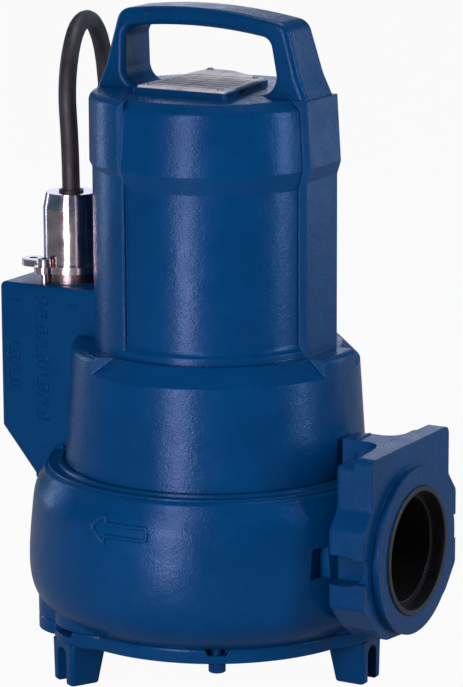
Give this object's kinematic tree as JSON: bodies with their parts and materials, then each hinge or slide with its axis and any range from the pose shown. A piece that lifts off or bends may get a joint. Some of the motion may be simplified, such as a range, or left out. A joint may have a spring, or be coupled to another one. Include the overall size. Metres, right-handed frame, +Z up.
{
  "type": "submersible wastewater pump",
  "caption": "Portable-style submersible wastewater pump on three feet, with side discharge claw flange, lifting handle, cable gland and power cable.",
  "frame": {"origin": "pump axis at the level the feet stand on", "axes": "+Z up along the shaft axis, +X out of the discharge bore"},
  "size_m": [0.3845, 0.5415, 0.51],
  "materials": {
    "blue_enamel": "glossy enamel on cast iron",
    "painted_screw": "glossy enamel",
    "stainless": "turned and polished",
    "nameplate_metal": "dull, weathered",
    "rubber_seal": "matte",
    "cable_sheath": "matte black",
    "cores": "insulated wires",
    "bare_iron": "dark, uncoated"
  },
  "bodies": {
    "root": {"base_ring": "blue_enamel", "volute_casing": "blue_enamel", "motor_housing": "blue_enamel", "discharge_seal": "rubber_seal", "gland_bushing": "rubber_seal", "gland_body": "stainless", "gland_clamp": "stainless", "gland_screw_far": "stainless", "gland_screw_near": "stainless", "nameplate": "nameplate_metal", "seal_plate": "bare_iron", "shaft_end": "stainless", "face_seal": "stainless", "impeller": "bare_iron", "impeller_bolt": "stainless", "cable_lead": "cable_sheath", "cable_coil": "cable_sheath", "cable_cores": "cores", "cover_screw_1": "painted_screw", "cover_screw_2": "painted_screw", "cover_screw_3": "painted_screw", "cover_screw_4": "painted_screw", "cover_screw_5": "painted_screw", "cover_screw_6": "painted_screw", "nameplate_rivet_1": "stainless", "nameplate_rivet_2": "stainless", "nameplate_rivet_3": "stainless", "nameplate_rivet_4": "stainless"}
  },
  "joints": []
}
